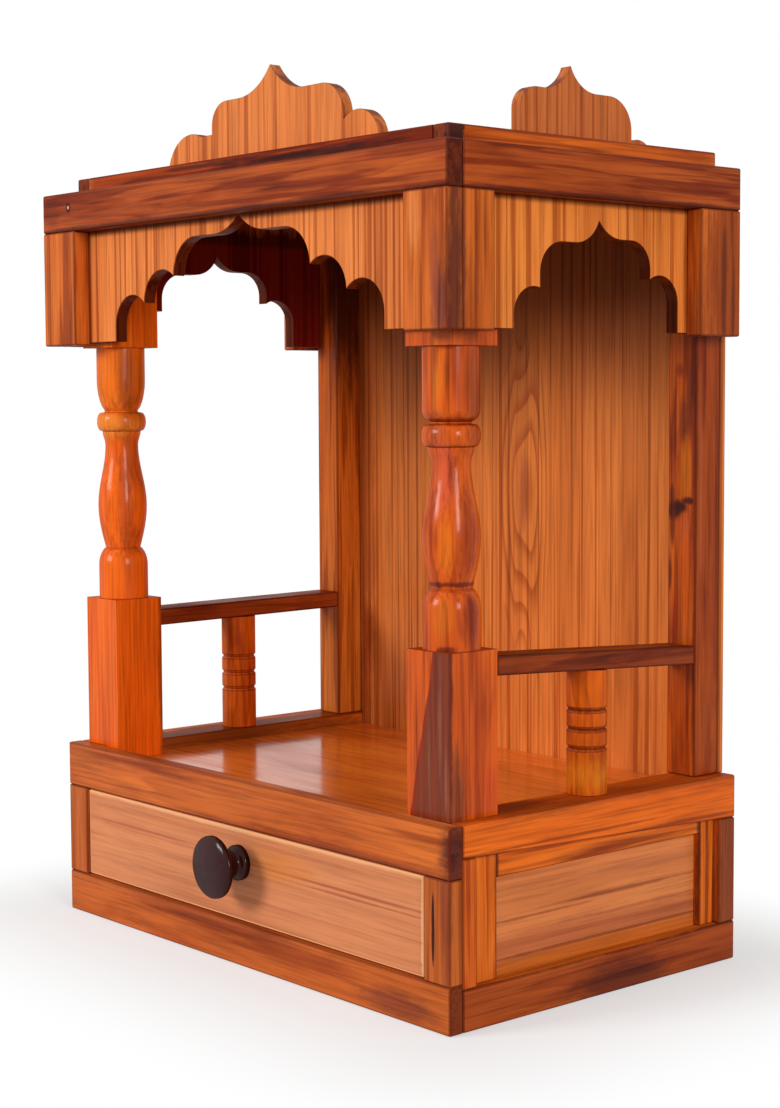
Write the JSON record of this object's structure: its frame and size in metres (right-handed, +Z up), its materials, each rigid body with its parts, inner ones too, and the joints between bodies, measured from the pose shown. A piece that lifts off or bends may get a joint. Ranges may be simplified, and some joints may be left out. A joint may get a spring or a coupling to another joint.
{
  "type": "wooden home temple with a drawer",
  "caption": "Tabletop wooden shrine: a base with one drawer, turned front pillars, side railings and a canopy of cusped arches with crests",
  "frame": {"origin": "middle of the underside of the base box, on the surface that it stands on", "axes": "+X to the right along the front, +Y to the back, +Z up"},
  "size_m": [0.318, 0.209, 0.4361],
  "materials": {
    "rail_wood": "gloss",
    "dark_rail_wood": "gloss",
    "striped_veneer": "gloss",
    "post_wood": "gloss",
    "plain_plywood": "matte",
    "dark_knob": "gloss"
  },
  "bodies": {
    "temple": {"base_front_top_rail": "rail_wood", "base_front_bottom_rail": "rail_wood", "base_front_stiles": "rail_wood", "base_side_top_rail_left": "rail_wood", "base_side_top_rail_right": "rail_wood", "base_side_bottom_rail_left": "dark_rail_wood", "base_side_bottom_rail_right": "dark_rail_wood", "base_side_stiles_left": "rail_wood", "base_side_stiles_right": "rail_wood", "base_side_beads": "rail_wood", "base_side_panel_left": "striped_veneer", "base_side_panel_right": "striped_veneer", "base_bottom_board": "plain_plywood", "base_back_board": "plain_plywood", "drawer_runners": "plain_plywood", "platform_cleats": "plain_plywood", "platform": "striped_veneer", "front_pillar_left": "post_wood", "front_pillar_right": "post_wood", "rear_post_left": "post_wood", "rear_post_right": "post_wood", "rear_top_rail": "post_wood", "back_panel": "striped_veneer", "handrail_left": "dark_rail_wood", "handrail_right": "dark_rail_wood", "baluster_left": "post_wood", "baluster_right": "post_wood", "arch_board_front": "striped_veneer", "arch_board_left": "striped_veneer", "arch_board_right": "striped_veneer", "corner_boards_front": "rail_wood", "corner_boards_left": "rail_wood", "corner_boards_right": "rail_wood", "cornice_front": "dark_rail_wood", "cornice_left": "rail_wood", "cornice_right": "rail_wood", "roof_board": "rail_wood", "crest_front": "striped_veneer", "crest_left": "striped_veneer", "crest_right": "striped_veneer"},
    "drawer": {"drawer_front": "striped_veneer", "drawer_sides": "plain_plywood", "drawer_back": "plain_plywood", "drawer_bottom": "plain_plywood", "drawer_knob": "dark_knob"}
  },
  "joints": [
    {"name": "drawer_slide", "type": "slide", "parent": "temple", "child": "drawer", "axis": [0, -1, 0], "range_m": [0, 0.125]}
  ]
}
